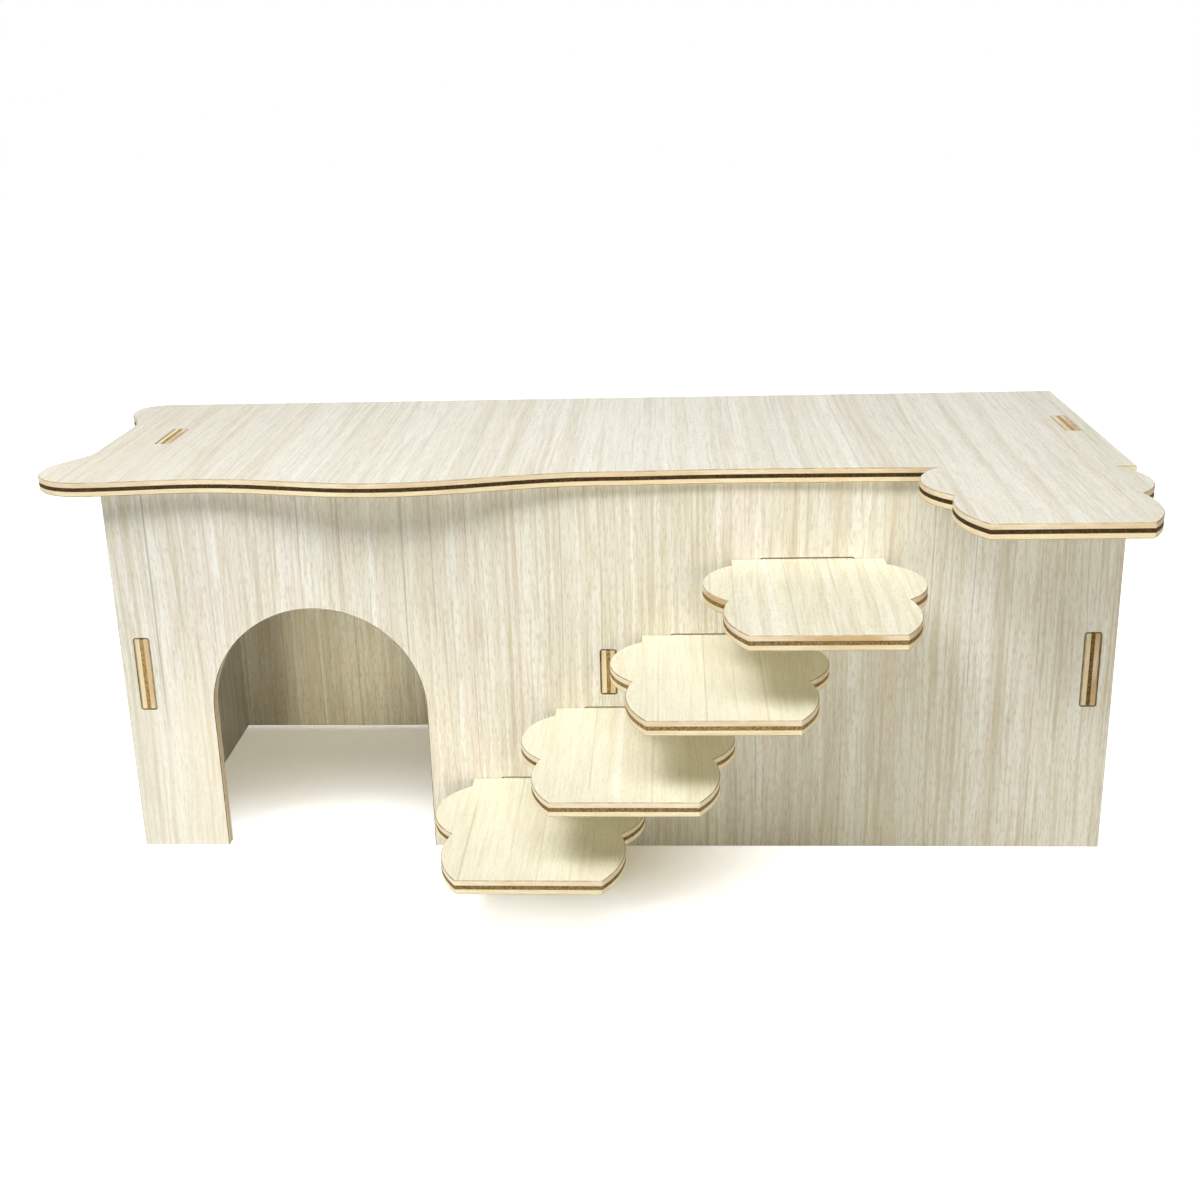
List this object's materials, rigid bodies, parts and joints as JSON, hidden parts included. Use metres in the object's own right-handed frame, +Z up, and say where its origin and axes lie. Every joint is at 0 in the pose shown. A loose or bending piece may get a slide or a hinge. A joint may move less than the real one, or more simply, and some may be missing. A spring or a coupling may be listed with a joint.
{
  "type": "wooden hamster house",
  "caption": "Push-fit plywood hideout for a hamster, with an arched doorway, a divided inside, a wavy lift-off roof with a platform, and cloud-shaped steps plugged into its front.",
  "frame": {"origin": "middle of the footprint box on the floor, over the roof, its platform and the steps", "axes": "+X along the front panel, to the right seen from the doorway side; +Y from the front panel towards the back panel; +Z up"},
  "size_m": [0.2986, 0.1544, 0.114],
  "materials": {
    "panel_wood": "matt printed wood-grain face, laser-cut ply edge",
    "wall_wood": "matt printed wood-grain face, laser-cut ply edge",
    "roof_wood": "matt printed wood-grain face, laser-cut ply edge",
    "step_wood": "matt printed wood-grain face, laser-cut ply edge"
  },
  "bodies": {
    "house": {"front_panel": "panel_wood", "back_panel": "panel_wood", "left_wall": "wall_wood", "right_wall": "wall_wood", "divider": "wall_wood"},
    "roof": {"roof": "roof_wood"},
    "step_1": {"step_1": "step_wood"},
    "step_2": {"step_2": "step_wood"},
    "step_3": {"step_3": "step_wood"},
    "step_4": {"step_4": "step_wood"}
  },
  "joints": [
    {"name": "roof_lift", "type": "slide", "parent": "house", "child": "roof", "axis": [0, 0, 1], "range_m": [0, 0.06]},
    {"name": "step_1_pull", "type": "slide", "parent": "house", "child": "step_1", "axis": [0, -1, 0], "range_m": [0, 0.012]},
    {"name": "step_2_pull", "type": "slide", "parent": "house", "child": "step_2", "axis": [0, -1, 0], "range_m": [0, 0.012]},
    {"name": "step_3_pull", "type": "slide", "parent": "house", "child": "step_3", "axis": [0, -1, 0], "range_m": [0, 0.012]},
    {"name": "step_4_pull", "type": "slide", "parent": "house", "child": "step_4", "axis": [0, -1, 0], "range_m": [0, 0.012]}
  ]
}
